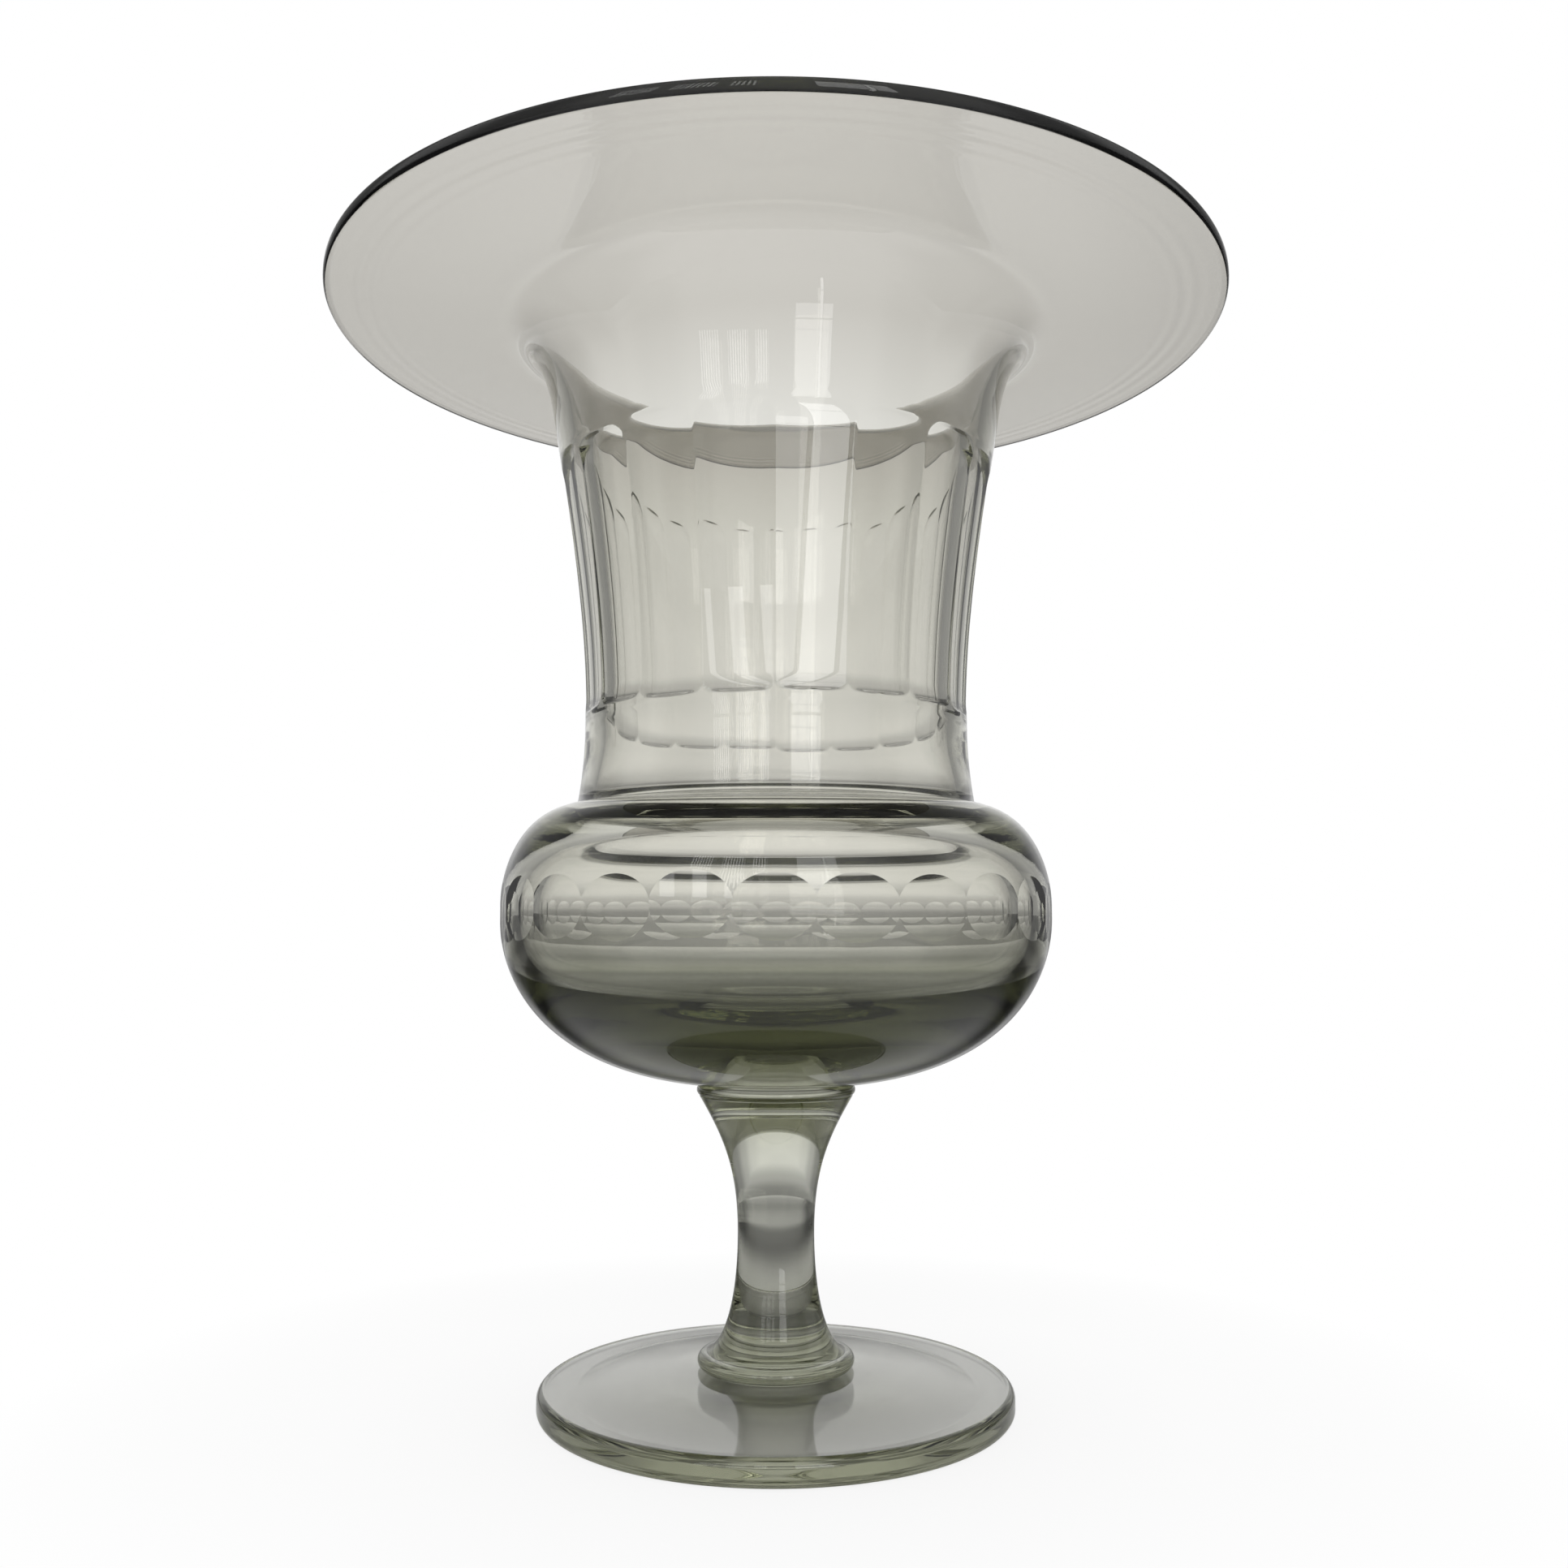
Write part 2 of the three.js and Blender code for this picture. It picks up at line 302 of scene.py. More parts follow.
def bowl_inside():
    """From the rim down to the middle of the floor. Under the crease the wall flares out to a
    tight corner."""
    brim = np.array([BRIM_BEND[0], BRIM_BEND[1] + BRIM_WALL])
    rim = (RIM_RADIUS - RIM_THICKNESS / 2, RIM_TOP)
    throat = np.array([THROAT[0] - NECK_WALL, THROAT[1]])
    waist = np.array([WAIST[0] - NECK_WALL, WAIST[1]])
    crease = np.array([CREASE[0] - NECK_WALL, CREASE[1]])
    shoulder = np.array([CREASE[0] + INNER_CORNER_OUT, CREASE[1] - SHOULDER_WALL])
    corner = shoulder + np.array([-INNER_CORNER_WIDTH, INNER_CORNER_HEIGHT])
    belly = np.array([BELLY[0] - BELLY_WALL, BELLY[1]])
    floor = np.array([0, SEAT[1] + BOTTOM_WALL])
    run = brim[0] - throat[0]
    drop = brim[1] - throat[1]
    handle = NECK_RISE / 3
    collar = COLLAR_RISE / 3
    shoulder_drop = shoulder[1] - belly[1]
    floor_drop = belly[1] - floor[1]
    return [
        *bend(300, rim, (-BRIM_WIDTH / 4, 0), (BRIM_WIDTH / 4, 0), brim),
        *bend(300, brim, (-run * 0.6, 0), (drop * 0.55 * THROAT_SLOPE, drop * 0.55), throat),
        *bend(300, throat, (-handle * THROAT_SLOPE, -handle), (0, handle), waist),
        *bend(100, waist, (0, -collar), (0, collar), crease),
        *bend(150, crease, (0.6, -3.5), (-3.2, 1.8), corner),
        *bend(40, corner, (0.6, -0.35), (-0.6, 0.07), shoulder),
        *bend(300, shoulder, ((belly[0] - shoulder[0]) * 0.65, -shoulder_drop * 0.12),
              (0, shoulder_drop * 0.5), belly),
        *bend(600, belly, (0, -floor_drop * 0.74), (belly[0] * 0.8, 0), floor),
    ]


def spaced(points, spacing):
    """Fewer points along a fine outline, with the gap that spacing gives at each place."""
    kept = [points[0]]
    travelled = 0.0
    for before, here in zip(points, points[1:]):
        travelled += math.dist(before, here)
        if travelled >= spacing(here):
            kept.append(here)
            travelled = 0.0
    if travelled > 0:
        kept[-1] = points[-1]
    return kept


def outside_spacing(place):
    """Rows are close together where a cut ends, and on the rim and its ripples."""
    radius, height = place
    if radius > RIM_RADIUS - RIM_THICKNESS:
        return ROWS_ON_RIM
    if radius > RIM_RADIUS - RIM_RIPPLES * RIM_RIPPLE_SPACING - RIM_THICKNESS:
        return ROWS_ON_RIPPLES
    if abs(height - BELLY[1]) < OVAL_WIDTH * 0.7:
        return ROWS_ON_OVALS
    if -CLOSE_PAST_ENDS < height - FLUTE_BOTTOM < CLOSE_ABOVE_BOTTOMS:
        return ROWS_AT_FLUTE_BOTTOMS
    if -CLOSE_BELOW_TOPS < height - FLUTE_TOP < CLOSE_PAST_ENDS:
        return ROWS_AT_FLUTE_TOPS
    return ROWS_OUTSIDE


# Cuts


def spread(count, seed):
    """Small differences from one hand-made cut to the next, between -1 and 1."""
    return np.random.default_rng(seed).uniform(-1, 1, count)


FLUTE_TURNS = np.radians(FLUTE_WANDER) * spread(FLUTE_COUNT, 3)
FLUTE_TOPS = FLUTE_TOP + FLUTE_SLIP * spread(FLUTE_COUNT, 4)
FLUTE_BOTTOMS = FLUTE_BOTTOM + FLUTE_SLIP * spread(FLUTE_COUNT, 5)
OVAL_TURNS = np.radians(OVAL_WANDER) * spread(OVAL_COUNT, 6)
OVAL_TILTS = np.radians(OVAL_TILT) * spread(OVAL_COUNT, 7)
OVAL_DEPTHS = 1 + OVAL_DEPTH_CHANGE * spread(OVAL_COUNT, 8)


def soft_min(a, b):
    """The smaller of two radii, with the crest between them rounded off."""
    near = np.maximum(CREST_ROUNDING - np.abs(a - b), 0)
    return np.minimum(a, b) - near * near / (4 * CREST_ROUNDING)


def flute_depth(along, corner, half_width):
    """The share of a flute's depth at a distance from its end, for rounded corners."""
    inward = np.clip(1 - along / corner, 0, 1)
    width = 1 - corner / half_width * (1 - np.sqrt(1 - inward * inward))
    ledge = np.clip(along / FLUTE_LEDGE, 0, 1)
    return width * width * ledge


def flute_face(cut, radius, height):
    """Distance from the axis to the flat floor of the cut, and to the skin past its ends."""
    half_width = radius * math.sin(math.pi / FLUTE_COUNT)
    full = radius * (1 - math.cos(math.pi / FLUTE_COUNT)) + FLUTE_RIDGE_DROP
    share = np.minimum(flute_depth(FLUTE_TOPS[cut] - height, FLUTE_TOP_CORNER, half_width),
                       flute_depth(height - FLUTE_BOTTOMS[cut], FLUTE_BOTTOM_CORNER, half_width))
    return radius - full * share


def fluted(radius, height, angle):
    """The radius left at each angle once the flutes are ground round the neck."""
    pitch = 2 * math.pi / FLUTE_COUNT
    first = FRONT + pitch / 2
    nearest = np.rint((angle - first) / pitch).astype(int)
    left = np.full(len(angle), float(radius))
    for neighbour in (-1, 0, 1):
        cut = (nearest + neighbour) % FLUTE_COUNT
        away = angle - first - cut * pitch - FLUTE_TURNS[cut]
        away = (away + math.pi) % (2 * math.pi) - math.pi
        left = soft_min(left, flute_face(cut, radius, height) / np.cos(away))
    return left


def all_round(steps):
    """Evenly spaced angles round the axis, starting at the front."""
    return FRONT + np.arange(steps) * 2 * math.pi / steps


def ring(radius, height, angle):
    """The corners of one row, from their angles and the radius at each."""
    level = np.full(len(angle), float(height))
    return np.stack([radius * np.cos(angle), radius * np.sin(angle), level], axis=1)


def bowl_ring(radius, height):
    """One row of the bowl's outside. Along the neck its columns are drawn to the ridges."""
    angle = all_round(BOWL_STEPS)
    left = np.full(BOWL_STEPS, float(radius))
    if FLUTE_BOTTOM - FLUTE_MARGIN < height < FLUTE_TOP + FLUTE_MARGIN:
        angle = angle - COLUMN_DRAW / FLUTE_COUNT * np.sin(FLUTE_COUNT * (angle - FRONT))
        left = fluted(radius, height, angle)
    return ring(left, height, angle)


def oval_blocks(parity):
    """Corners and faces of every second block that grinds an oval, so that none touch."""
    depth = BELLY[0] - math.sqrt(BELLY[0] ** 2 - (OVAL_WIDTH / 2) ** 2)
    reach = OVAL_WIDTH * 0.75
    corners = []
    faces = []
    for cut in range(parity, OVAL_COUNT, 2):
        angle = FRONT + cut * 2 * math.pi / OVAL_COUNT + OVAL_TURNS[cut]
        face = BELLY[0] - depth * OVAL_DEPTHS[cut]
        first = len(corners)
        for out in (face, face + OVAL_BLOCK_DEPTH):
            for across, up in ((-1, -1), (1, -1), (1, 1), (-1, 1)):
                away = out + up * reach * math.tan(OVAL_TILTS[cut])
                side = across * reach
                corners.append((away * math.cos(angle) - side * math.sin(angle),
                                away * math.sin(angle) + side * math.cos(angle),
                                BELLY[1] - OVAL_BELOW_BELLY + up * reach))
        for face_corners in ((0, 3, 2, 1), (4, 5, 6, 7), (0, 1, 5, 4), (1, 2, 6, 5),
                             (2, 3, 7, 6), (3, 0, 4, 7)):
            faces.append([first + corner for corner in face_corners])
    return corners, faces


# Meshes


def placed(name, vertices, faces):
    """A mesh in the scene, from corners in metres."""
    mesh = bpy.data.meshes.new(name)
    mesh.from_pydata(vertices, [], faces)
    mesh.validate()
    piece = bpy.data.objects.new(name, mesh)
    bpy.context.scene.collection.objects.link(piece)
    return piece


def neighbours(first, steps):
    """Pairs of neighbouring corners in a row, by the index of its first."""
    step = np.arange(steps)
    return np.stack([first + step, first + (step + 1) % steps], axis=1).tolist()


def strip(low, high, steps):
    """Faces between two rows with the same number of columns, by the index of their first."""
    pairs = zip(neighbours(low, steps), neighbours(high, steps))
    return [(a, b, d, c) for (a, b), (c, d) in pairs]


def revolve(name, outline, steps):
    """A closed body of revolution from an outline that starts and ends on the axis."""
    places = [outline[0]]
    for place in outline[1:]:
        if math.dist(place, places[-1]) > SAME_PLACE:
            places.append(place)
    rows = [ring(radius, height, all_round(steps)) for radius, height in places[1:-1]]
    body = np.concatenate([[(0, 0, places[0][1])], *rows, [(0, 0, places[-1][1])]]) * METRE
    end = len(body) - 1
    top = end - steps
    faces = [(0, b, a) for a, b in neighbours(1, steps)]
    for low in range(1, top, steps):
        faces += strip(low, low + steps, steps)
    faces += [(a, b, end) for a, b in neighbours(top, steps)]
    return placed(name, body.tolist(), faces)


def bowl_piece(name):
    """The bowl, with its cuts, as rows of columns. The inside has half as many columns."""
    seat = [(BOWL_WELD, BOWL_BOTTOM + SEAM), (BOWL_WELD, BOWL_BOTTOM)]
    outside = [*seat, *spaced(bowl_outside(), outside_spacing)]
    inside = spaced(bowl_inside(), lambda place: ROWS_INSIDE)[1:-1]
    half = BOWL_STEPS // 2
    rows = [bowl_ring(*place) for place in outside]
    rows += [ring(*place, all_round(half)) for place in inside]
    floor = SEAT[1] + BOTTOM_WALL
    body = np.concatenate([[(0, 0, BOWL_BOTTOM + SEAM)], *rows, [(0, 0, floor)]]) * METRE
    starts = [1]
    for row in rows:
        starts.append(starts[-1] + len(row))
    faces = [(0, b, a) for a, b in neighbours(starts[0], BOWL_STEPS)]
    for row in range(len(rows) - 1):
        if len(rows[row]) == len(rows[row + 1]):
            faces += strip(starts[row], starts[row + 1], len(rows[row]))
        else:
            for step in range(half):
                outer = [starts[row] + (2 * step + i) % BOWL_STEPS for i in range(3)]
                inner = [starts[row + 1] + (step + i) % half for i in (1, 0)]
                faces.append([*outer, *inner])
    faces += [(a, b, starts[-1]) for a, b in neighbours(starts[-2], half)]
    piece = placed(name, body.tolist(), faces)
    for parity in (0, 1):
        corners, sides = oval_blocks(parity)
        block = placed("oval_blocks", (np.array(corners) * METRE).tolist(), sides)
        modifier = piece.modifiers.new("cut", "BOOLEAN")
        modifier.operation = "DIFFERENCE"
        modifier.solver = "MANIFOLD"
        modifier.object = block
        bake_modifiers(piece)
        bpy.data.objects.remove(block)
    return piece


def bake_modifiers(piece):
    graph = bpy.context.evaluated_depsgraph_get()
    baked = bpy.data.meshes.new_from_object(piece.evaluated_get(graph))
    piece.modifiers.clear()
    piece.data = baked


def sharp_edges(mesh, angle):
    mesh.set_sharp_from_angle(angle=math.radians(angle))
    return [edge.index for edge in mesh.edges if edge.use_edge_sharp]


def polish(piece, angle, oval_angle=None):
    """Smooth surfaces with crisp edges where they turn by more than the angle, which can be
    finer on the outside over the height of the ovals."""
    mesh = piece.data
    mesh.shade_smooth()
    crisp = []
    if oval_angle:
        for index in sharp_edges(mesh, oval_angle):
            corner = mesh.vertices[mesh.edges[index].vertices[0]].co / METRE
            outside = math.hypot(corner.x, corner.y) > BELLY[0] - BELLY_WALL * 0.8
            if outside and abs(corner.z - BELLY[1]) < OVAL_WIDTH * 0.6:
                crisp.append(index)
    sharp_edges(mesh, angle)
    for index in crisp:
        mesh.edges[index].use_edge_sharp = True
    modifier = piece.modifiers.new("normals", "WEIGHTED_NORMAL")
    modifier.mode = "FACE_AREA"
    modifier.weight = 50
    modifier.keep_sharp = True
    bake_modifiers(piece)


def mark_joints(piece, welds):
    """A face value of 1 on the welded faces, given as (height, radius)."""
    mesh = piece.data
    joint = mesh.attributes.new("joint", "FLOAT", "FACE")
    for polygon, value in zip(mesh.polygons, joint.data):
        x, y, z = polygon.center
        reach = math.hypot(x, y) / METRE
        for height, radius in welds:
            if abs(z / METRE - height) < SEAM / 4 and reach < radius:
                value.value = 1.0


# Glass


def node(tree, kind, inputs=None, **settings):
    made = tree.nodes.new(kind)
    for name, value in settings.items():
        setattr(made, name, value)
    for name, value in (inputs or {}).items():
        socket = made.inputs[name]
        if isinstance(value, bpy.types.NodeSocket):
            tree.links.new(value, socket)
        else:
            socket.default_value = value
    return made


def ramp(tree, value, stops, interpolation):
    """A colour that follows a value, from (value, colour) pairs."""
    first = stops[0][0]
    last = stops[-1][0]
    share = node(tree, "ShaderNodeMapRange", {"Value": value, "From Min": first, "From Max": last})
    made = node(tree, "ShaderNodeValToRGB", {0: share.outputs["Result"]})
    made.color_ramp.interpolation = interpolation
    elements = made.color_ramp.elements
    while len(elements) < len(stops):
        elements.new(0.5)
    for element, (at, colour) in zip(elements, stops):
        element.position = (at - first) / (last - first)
        element.color = (*colour, 1)
    return made.outputs["Color"]


def rim_painted_shade(tree, place, height):
    """A painted shade that darkens the rolled rim from its lower to its upper edge, and 1
    elsewhere.
    """
    across = node(tree, "ShaderNodeVectorMath", {0: place, 1: (1, 1, 0)}, operation="MULTIPLY")
    out = node(tree, "ShaderNodeVectorMath", {0: across.outputs[0]}, operation="LENGTH")
    edge = node(tree, "ShaderNodeMapRange", {
        "Value": out.outputs["Value"], "From Min": (RIM_RADIUS - RIM_PAINTED_SHADE_START) * METRE,
        "From Max": (RIM_RADIUS - RIM_PAINTED_SHADE_FULL) * METRE}).outputs["Result"]
    painted_dark = node(tree, "ShaderNodeMapRange", {
        "Value": height, "From Min": (RIM_TOP - RIM_THICKNESS * 0.8) * METRE,
        "From Max": RIM_TOP * METRE, "To Min": 1.0, "To Max": RIM_PAINTED_SHADE}).outputs["Result"]
    return node(tree, "ShaderNodeMix", {"Factor": edge, 2: 1.0, 3: painted_dark},
                data_type="FLOAT").outputs[0]


def glass(name, tints_and_painted_shade, absorption, waves, rim=False):
    """Polished glass. The tints are (height, colour) pairs, the glass's own tint with painted
    shade in it;
    absorption is (density, colour), waves is the strength of the slight unevenness that blown
    glass keeps, and rim adds a painted shade to the rolled rim."""
    material = bpy.data.materials.new(name)
    material.use_nodes = True
    tree = material.node_tree
    tree.nodes.clear()
    place = node(tree, "ShaderNodeTexCoord").outputs["Object"]
    height = node(tree, "ShaderNodeSeparateXYZ", {0: place}).outputs["Z"]
    joint = node(tree, "ShaderNodeAttribute", attribute_name="joint").outputs["Fac"]
    # The glass's tint by height, with painted shade in it
    colour = ramp(tree, height, [(at * METRE, tint_and_painted_shade) for at, tint_and_painted_shade in tints_and_painted_shade], "LINEAR")
    # The rolled rim gets a painted shade, darker towards its upper edge
    if rim:
        colour = node(tree, "ShaderNodeVectorMath", {
            0: colour, "Scale": rim_painted_shade(tree, place, height)}, operation="SCALE").outputs[0]
    tint_and_painted_shade = node(tree, "ShaderNodeMix", {"Factor": joint, 6: colour, 7: (1, 1, 1, 1)},
                data_type="RGBA")
    ior = node(tree, "ShaderNodeMapRange", {"Value": joint, "To Min": 1.5, "To Max": 1.0})
    drift = node(tree, "ShaderNodeTexNoise", {"Vector": place, "Scale": 9.0, "Detail": 0.0})
    bump = node(tree, "ShaderNodeBump",
                {"Height": drift.outputs["Fac"], "Strength": waves, "Distance": 0.001})
    shader = node(tree, "ShaderNodeBsdfPrincipled", {
        "Base Color": tint_and_painted_shade.outputs[2],
        "Roughness": 0.0,
        "IOR": 1.5,
        "Transmission Weight": 1.0,
        "Normal": bump.outputs["Normal"],
    })
    tree.links.new(ior.outputs["Result"], shader.inputs["IOR"])
    volume = node(tree, "ShaderNodeVolumeAbsorption",
                  {"Color": (*absorption[1], 1), "Density": absorption[0]})
    output = node(tree, "ShaderNodeOutputMaterial", {"Surface": shader.outputs[0]})
    tree.links.new(volume.outputs[0], output.inputs["Volume"])
    return material


# Density and colour of the glass. It absorbs the density times one minus the colour, for each
# metre that light goes through it.
ABSORPTION = (40.0, (0.63, 0.64, 0.54))
FOOT_ABSORPTION = (26.0, (0.63, 0.64, 0.54))

# The rolled rim's painted shade at its upper edge, and how far in from the rim it starts and is
# full
RIM_PAINTED_SHADE = 0.6
RIM_PAINTED_SHADE_START = 2.2
RIM_PAINTED_SHADE_FULL = 1.4

# The share of light that each wall lets through, at heights above the table: partly the glass's
# own
#  tint and partly painted shade, darker at the bowl's thick bottom, its throat and brim, the lower
#  stem, the foot wafer and the foot's top
CLEAR = (1.0, 1.0, 0.985)
BOWL_TINTS_AND_PAINTED_SHADE = [
    (90, (0.42, 0.43, 0.33)),
    (112, (0.50, 0.51, 0.42)),
    (124, (0.80, 0.80, 0.75)),
    (142, (0.91, 0.90, 0.87)),
    (170, (0.95, 0.94, 0.91)),
    (270, (0.79, 0.78, 0.745)),
    (298, (0.63, 0.61, 0.575)),
    (316, (0.665, 0.645, 0.61)),
]
FOOT_TINTS_AND_PAINTED_SHADE = [(0, CLEAR), (7, CLEAR), (8, (0.86, 0.86, 0.83)), (11, (0.80, 0.80, 0.77))]
WAFER_TINTS_AND_PAINTED_SHADE = [(11, (0.52, 0.53, 0.48)), (16, (0.52, 0.53, 0.48)), (86, (0.88, 0.88, 0.85)),
               (91, (0.88, 0.88, 0.85))]
STEM_TINTS_AND_PAINTED_SHADE = [(15, (0.50, 0.51, 0.46)), (32, (0.66, 0.66, 0.63)), (56, (0.66, 0.66, 0.64)),
              (70, (0.98, 0.98, 0.96)), (87, (0.98, 0.98, 0.96))]

# The bowl's glass carries a painted shade on its rolled rim
bowl_glass = glass("bowl_glass", BOWL_TINTS_AND_PAINTED_SHADE, ABSORPTION, waves=0.25, rim=True)
stem_glass = glass("stem_glass", STEM_TINTS_AND_PAINTED_SHADE, ABSORPTION, waves=0.2)
wafer_glass = glass("wafer_glass", WAFER_TINTS_AND_PAINTED_SHADE, ABSORPTION, waves=0.2)
foot_glass = glass("foot_glass", FOOT_TINTS_AND_PAINTED_SHADE, FOOT_ABSORPTION, waves=0.2)


# Pieces


def finish_piece(piece, node_name, material, welds, angle=CRISP_ANGLE, oval_angle=None):
    polish(piece, angle, oval_angle)
    mark_joints(piece, welds)
    piece.data.materials.clear()
    piece.data.materials.append(material)
    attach(piece, "root")
    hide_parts(node_name)


foot = revolve("foot_glass", foot_outline(), SOLID_STEPS)
finish_piece(foot, "foot", foot_glass, [(FOOT_TOP - SEAM, FOOT_WELD)])

foot_wafer = revolve(
    "foot_wafer_glass",
    wafer_outline(FOOT_WAFER_RADIUS, FOOT_WAFER_THICKNESS, FOOT_TOP, FOOT_WELD, STEM_BASE_RADIUS),
    SOLID_STEPS)
finish_piece(foot_wafer, "foot_wafer", wafer_glass,
             [(FOOT_TOP + SEAM, FOOT_WELD), (STEM_BOTTOM - SEAM, STEM_BASE_RADIUS)])

stem = revolve("stem_glass", stem_outline(), SOLID_STEPS)
finish_piece(stem, "stem", stem_glass,
             [(STEM_BOTTOM + SEAM, STEM_BASE_RADIUS), (STEM_TOP - SEAM, BOWL_WELD)])

bowl_wafer = revolve(
    "bowl_wafer_glass",
    wafer_outline(BOWL_WAFER_RADIUS, BOWL_WAFER_THICKNESS, STEM_TOP,
                  BOWL_WELD - SEAM, BOWL_WELD - SEAM),
    SOLID_STEPS)
finish_piece(bowl_wafer, "bowl_wafer", wafer_glass,
             [(STEM_TOP + SEAM, BOWL_WELD), (BOWL_BOTTOM - SEAM, BOWL_WELD)])

bowl = bowl_piece("bowl_glass")
finish_piece(bowl, "bowl", bowl_glass, [(BOWL_BOTTOM + SEAM, BOWL_WELD)],
             BOWL_CRISP_ANGLE, OVAL_CRISP_ANGLE)


# Studio


# The room that the glass shows: how bright it is at each angle away from straight behind the
# vase, and behind it at each angle above the table. It is turned by a few degrees.
ROOM_ROUND = [(0, 1.0), (12, 0.96), (22, 0.84), (32, 0.58), (46, 0.30), (66, 0.26), (84, 0.8),
              (98, 0.85), (112, 0.5), (124, 0.55), (138, 0.9), (180, 0.95)]
ROOM_UP = [(0, 0.32), (5, 0.62), (12, 0.94), (18, 1.0), (34, 1.0), (64, 0.45), (90, 0.45)]
ROOM_TURN = 3

# Windows on the camera's side: the angles that each spans, from straight in front of the vase
# towards +X, the angle above the table at which it starts, its light, and the share of it
# that its narrow panes take
WINDOWS = [(-36, -27, 3, 2.5, 0.45), (-22.5, -13, 3, 2.5, 0.45), (-9.5, -3.5, 3, 2.5, 0.45),
           (9, 19.9, -6, 2.2, 1.0), (20.1, 21.4, -20, 3.8, 1.0), (21.6, 26, -6, 2.4, 1.0)]
WINDOW_TOP = 34
PANE_WIDTH = 1.2
PANE_HEIGHT = 12.0
PANE_HEIGHT_SHARE = 0.95

# Painted shade on the table, as the glass shows it: how light the table's colour is at each
# distance
#  in metres behind the vase's middle, and at each angle away from straight behind it. The camera
#  sees it paler.
TABLE_PAINTED_SHADE_BACK = [(0.08, 0.80), (0.2, 0.22), (0.27, 0.26), (0.36, 0.62), (0.75, 0.40), (1.3, 0.48),
              (2.4, 0.66)]
TABLE_PAINTED_SHADE_ROUND = [(0, 1.0), (24, 0.9), (44, 0.16), (100, 0.16), (135, 1.0), (180, 1.0)]
TABLE_PALER = 0.86

# Distances in metres from the vase's middle between which the table turns from even to shaded
# by angle, and from plain to paler for the camera
TABLE_SHADED = (0.12, 0.3)
TABLE_FADES = (0.08, 0.22)

# The table's edges in metres: its two sides and back, its front, and its level under the foot
TABLE_REACH = 3.0
TABLE_FRONT = -0.5
TABLE_DROP = -0.0002


def levels(tree, value, stops):
    """A level that follows a value, from (value, level) pairs."""
    return ramp(tree, value, [(at, (level,) * 3) for at, level in stops], "EASE")


def math_node(tree, operation, *values):
    return node(tree, "ShaderNodeMath", dict(enumerate(values)), operation=operation).outputs[0]


def within(tree, value, low, high):
    """1 where a value is between two others, and 0 elsewhere."""
    return math_node(tree, "COMPARE", value, (low + high) / 2, (high - low) / 2)


def degrees(tree, value):
    return math_node(tree, "DEGREES", value)


def panes(tree, value, spacing, share):
    """1 on the panes between evenly spaced glazing bars, and 0 on the bars."""
    place = math_node(tree, "FRACT", math_node(tree, "DIVIDE", value, spacing))
    return math_node(tree, "LESS_THAN", place, share)


def room():
    """White behind the vase, a darker room at its sides and above, and windows in front."""
    world = bpy.data.worlds.new("room")
    bpy.context.scene.world = world
    world.use_nodes = True
    tree = world.node_tree
    tree.nodes.clear()
    way = node(tree, "ShaderNodeTexCoord").outputs["Generated"]
    axes = node(tree, "ShaderNodeSeparateXYZ", {0: way}).outputs
    up = degrees(tree, math_node(tree, "ARCSINE", axes["Z"]))
    from_back = degrees(tree, math_node(tree, "ARCTAN2", axes["X"], axes["Y"]))
    turned = math_node(tree, "ADD", from_back, ROOM_TURN)
    side = levels(tree, math_node(tree, "ABSOLUTE", turned), ROOM_ROUND)
    front = node(tree, "ShaderNodeMapRange", {
        "Value": axes["Y"], "From Min": 0.1, "From Max": -0.3}).outputs["Result"]
    above = math_node(tree, "MAXIMUM", levels(tree, up, ROOM_UP), front)
    shade = math_node(tree, "MINIMUM", side, above)
    towards = math_node(tree, "MULTIPLY", axes["Y"], -1.0)
    from_front = degrees(tree, math_node(tree, "ARCTAN2", axes["X"], towards))
    rows = panes(tree, up, PANE_HEIGHT, PANE_HEIGHT_SHARE)
    for low, high, sill, strength, share in WINDOWS:
        across = math_node(tree, "MULTIPLY", within(tree, from_front, low, high),
                           panes(tree, from_front, PANE_WIDTH, share))
        tall = math_node(tree, "MULTIPLY", within(tree, up, sill, WINDOW_TOP), rows)
        opening = math_node(tree, "MULTIPLY", across, tall)
        shade = math_node(tree, "MULTIPLY_ADD", opening, strength, shade)
    light = node(tree, "ShaderNodeLightPath").outputs
    glass_ray = math_node(tree, "MAXIMUM", light["Is Glossy Ray"], light["Is Transmission Ray"])
    level = node(tree, "ShaderNodeMix", {"Factor": glass_ray, 2: 1.0, 3: shade},
                 data_type="FLOAT")
    sky = node(tree, "ShaderNodeBackground", {"Color": (1, 1, 1, 1), "Strength": level.outputs[0]})
    node(tree, "ShaderNodeOutputWorld", {"Surface": sky.outputs[0]})


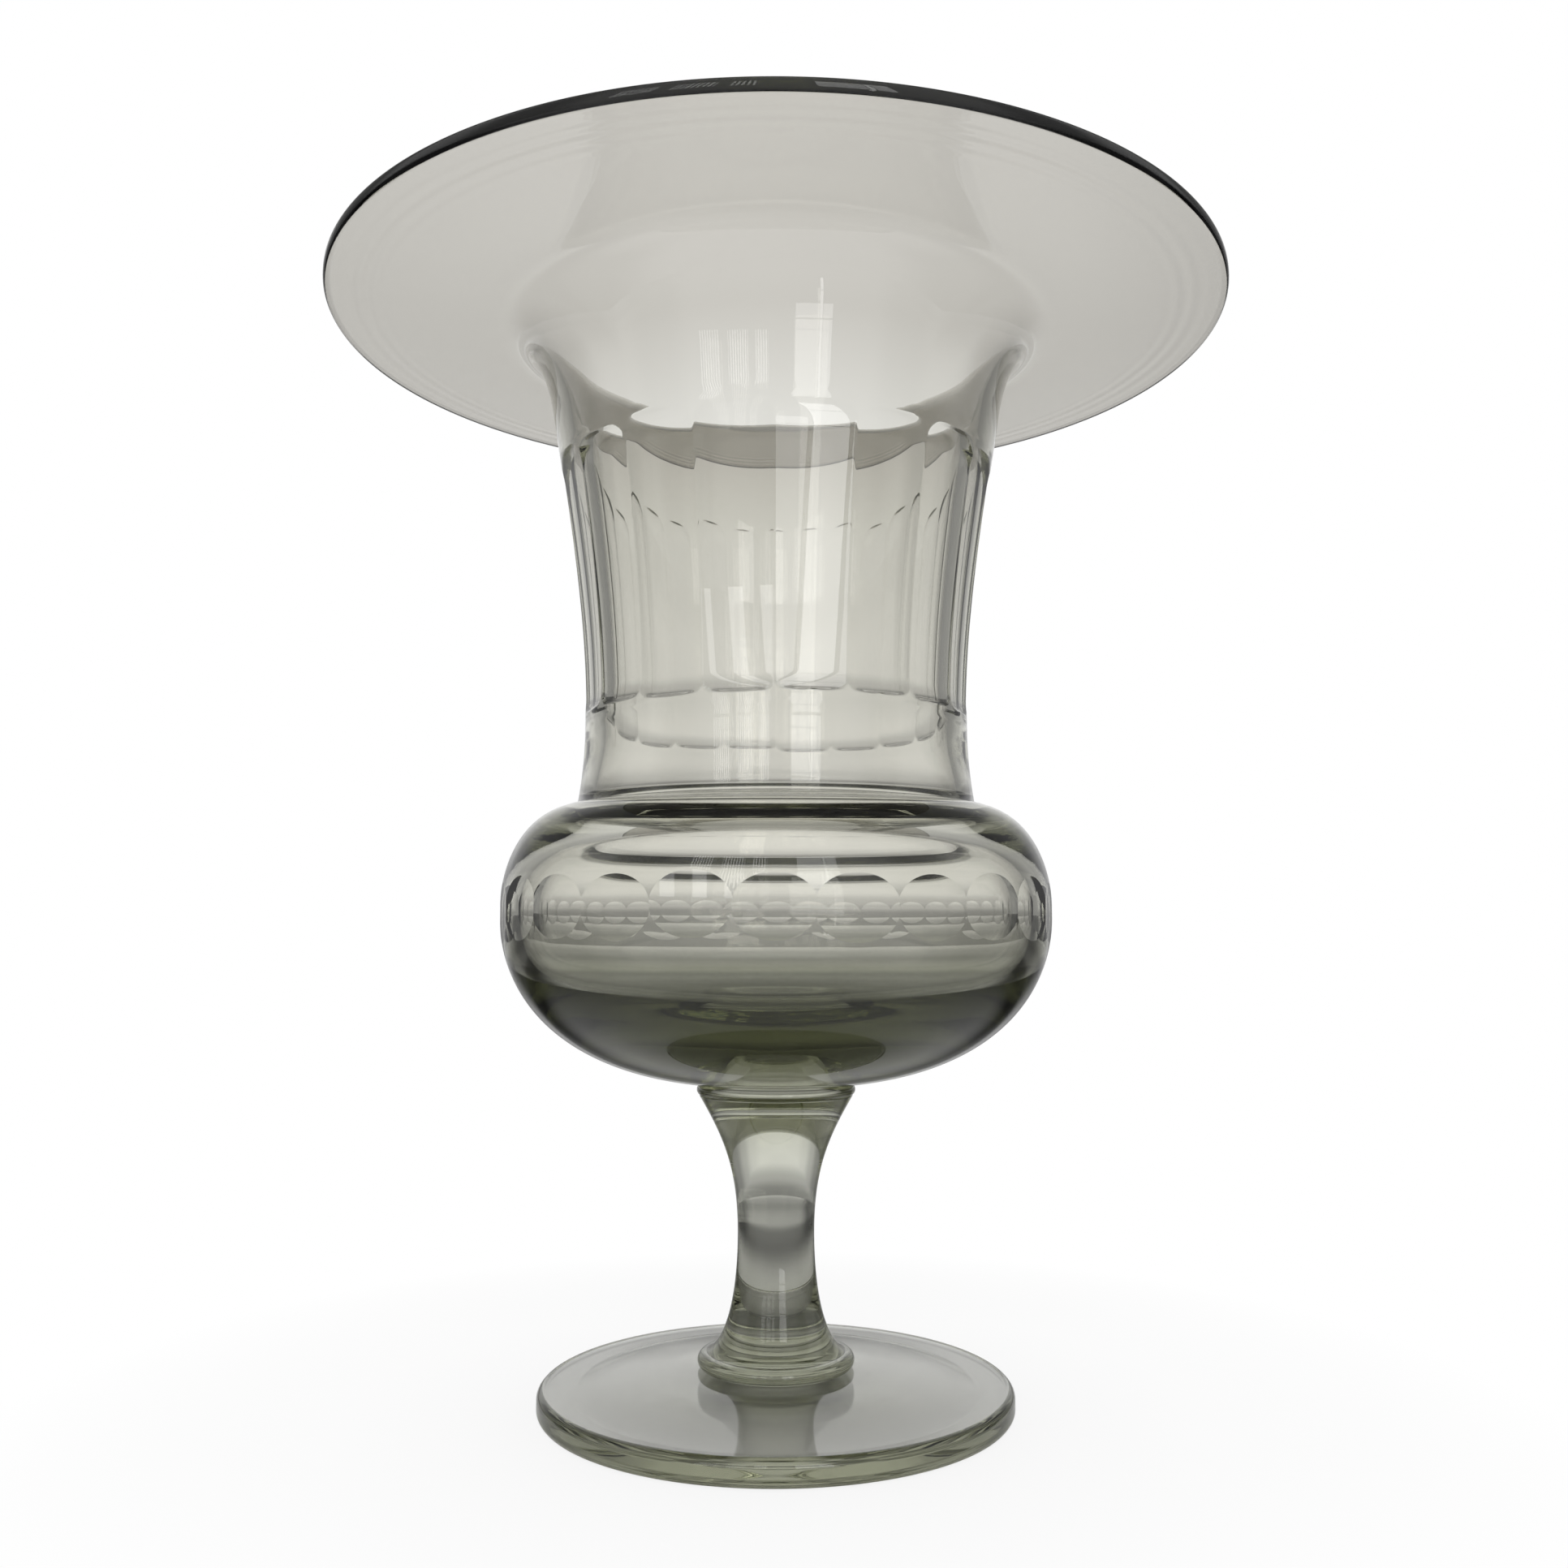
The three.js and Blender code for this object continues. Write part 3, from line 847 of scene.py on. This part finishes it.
def table():
    """A pale table that fades into the white backdrop away from the foot. Its colour carries a
    painted shade, which shows in the glass while the camera sees the table paler.
    """
    mesh = bpy.data.meshes.new("table")
    edges = [(-TABLE_REACH, TABLE_FRONT), (TABLE_REACH, TABLE_FRONT),
             (TABLE_REACH, TABLE_REACH), (-TABLE_REACH, TABLE_REACH)]
    corners = [(x, y, TABLE_DROP) for x, y in edges]
    mesh.from_pydata(corners, [], [(0, 1, 2, 3)])
    surface = bpy.data.objects.new("table", mesh)
    bpy.context.scene.collection.objects.link(surface)
    material = bpy.data.materials.new("table")
    material.use_nodes = True
    tree = material.node_tree
    tree.nodes.clear()
    place = node(tree, "ShaderNodeTexCoord").outputs["Object"]
    far = node(tree, "ShaderNodeVectorMath", {0: place}, operation="LENGTH").outputs["Value"]
    axes = node(tree, "ShaderNodeSeparateXYZ", {0: place}).outputs
    aside = degrees(tree, math_node(tree, "ARCTAN2", axes["X"], axes["Y"]))
    side = levels(tree, math_node(tree, "ABSOLUTE", aside), TABLE_PAINTED_SHADE_ROUND)
    away = node(tree, "ShaderNodeMapRange", {
        "Value": far, "From Min": TABLE_SHADED[0],
        "From Max": TABLE_SHADED[1]}).outputs["Result"]
    shade = node(tree, "ShaderNodeMix", {"Factor": away, 2: 1.0, 3: side},
                 data_type="FLOAT").outputs[0]
    # The table's colour: painted shade by distance behind the vase and by angle
    painted_shade_grey = math_node(tree, "MULTIPLY", levels(tree, axes["Y"], TABLE_PAINTED_SHADE_BACK), shade)
    fade = node(tree, "ShaderNodeMapRange", {
        "Value": far, "From Min": TABLE_FADES[0], "From Max": TABLE_FADES[1],
        "To Min": TABLE_PALER}).outputs["Result"]
    light = node(tree, "ShaderNodeLightPath").outputs
    share = math_node(tree, "MULTIPLY", fade, light["Is Camera Ray"])
    matt = node(tree, "ShaderNodeBsdfDiffuse", {"Color": painted_shade_grey})
    white = node(tree, "ShaderNodeEmission", {"Color": (1, 1, 1, 1), "Strength": 1.0})
    mix = node(tree, "ShaderNodeMixShader", {0: share, 1: matt.outputs[0], 2: white.outputs[0]})
    node(tree, "ShaderNodeOutputMaterial", {"Surface": mix.outputs[0]})
    mesh.materials.append(material)


room()
table()

# Camera: the photograph was taken from 44 cm away, looking up by 6 degrees
CAMERA_PLACE = (0.0023, -0.4423, 0.1302)
CAMERA_UP = 6.17
CAMERA_LENS = 34.36
CAMERA_SENSOR = 36.0

camera_data = bpy.data.cameras.new("camera")
camera_data.sensor_width = CAMERA_SENSOR
camera_data.lens = CAMERA_LENS
camera_data.clip_start = 0.01
camera = bpy.data.objects.new("camera", camera_data)
camera.location = CAMERA_PLACE
camera.rotation_euler = (math.radians(90 + CAMERA_UP), 0, 0)
bpy.context.scene.collection.objects.link(camera)
bpy.context.scene.camera = camera

bpy.context.scene.view_settings.view_transform = "Standard"
cycles = bpy.context.scene.cycles
cycles.max_bounces = 40
cycles.transmission_bounces = 40
cycles.glossy_bounces = 16
